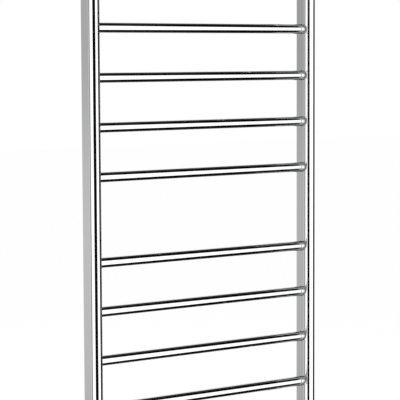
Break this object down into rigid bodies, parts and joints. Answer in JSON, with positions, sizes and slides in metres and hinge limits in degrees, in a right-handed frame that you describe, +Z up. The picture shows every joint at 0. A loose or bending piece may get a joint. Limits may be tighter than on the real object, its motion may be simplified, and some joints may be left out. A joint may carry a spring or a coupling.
{
  "type": "towel warmer rack",
  "caption": "Wall-mounted electric ladder towel warmer with D-section uprights, round cross bars in two groups, a push switch and wall standoffs.",
  "frame": {"origin": "centre of the four wall screw holes, on the face that meets the wall", "axes": "+X to the right across the rail seen from the front, +Y into the wall, +Z up"},
  "size_m": [0.627, 0.1138, 1.115],
  "materials": {
    "chrome": "polished chrome plate",
    "satin_chrome": "satin chrome plate",
    "zinc_plate": "bright zinc plate",
    "dark_steel": "black oxide",
    "spring_steel": "drawn wire",
    "brass": "machined",
    "silicone_red": "matte silicone jacket",
    "silicone_white": "matte silicone",
    "black_rubber": "matte",
    "black_plastic": "fine moulded texture",
    "lead_grey": "glass braid sleeve",
    "porcelain": "unglazed porcelain",
    "lens_blue": "translucent moulded"
  },
  "bodies": {
    "rail": {"upright_left": "chrome", "upright_right": "chrome", "bar_01": "chrome", "bar_02": "chrome", "bar_03": "chrome", "bar_04": "chrome", "bar_05": "chrome", "bar_06": "chrome", "bar_07": "chrome", "bar_08": "chrome", "bar_09": "chrome", "bar_10": "chrome", "end_cap_top_left": "chrome", "wall_plate_top_left": "zinc_plate", "standoff_top_left": "chrome", "rose_top_left": "chrome", "end_cap_top_right": "chrome", "wall_plate_top_right": "zinc_plate", "standoff_top_right": "chrome", "rose_top_right": "chrome", "end_cap_bottom_left": "chrome", "wall_plate_bottom_left": "zinc_plate", "standoff_bottom_left": "chrome", "rose_bottom_left": "chrome", "end_cap_bottom_right": "chrome", "wall_plate_bottom_right": "zinc_plate", "standoff_bottom_right": "chrome", "rose_bottom_right": "chrome", "rivet_nuts": "zinc_plate", "standoff_bolts": "zinc_plate", "bolt_washers": "zinc_plate", "grub_screws": "dark_steel", "heating_cable": "silicone_red", "cable_end_seal": "black_plastic", "cable_spacers": "silicone_white", "switch_body": "satin_chrome", "switch_gasket": "black_rubber", "switch_nut": "zinc_plate", "switch_spring": "spring_steel", "switch_contacts": "brass", "terminal_block": "porcelain", "terminal_screws": "brass", "block_pad": "silicone_white", "thermal_cutout": "black_plastic", "cutout_pad": "silicone_white", "inner_leads": "lead_grey", "earth_tag": "zinc_plate", "earth_screw": "zinc_plate", "gland_body": "black_plastic", "gland_lock_nut": "zinc_plate", "gland_seal": "black_rubber", "gland_cap": "black_plastic"},
    "button": {"switch_button": "satin_chrome", "indicator_lens": "lens_blue"}
  },
  "joints": [
    {"name": "switch_press", "type": "slide", "parent": "rail", "child": "button", "axis": [-1, 0, 0], "range_m": [0, 0.002], "stiffness_N_per_m": 400, "springref_m": -0.002, "deforming": ["switch_spring"]}
  ]
}
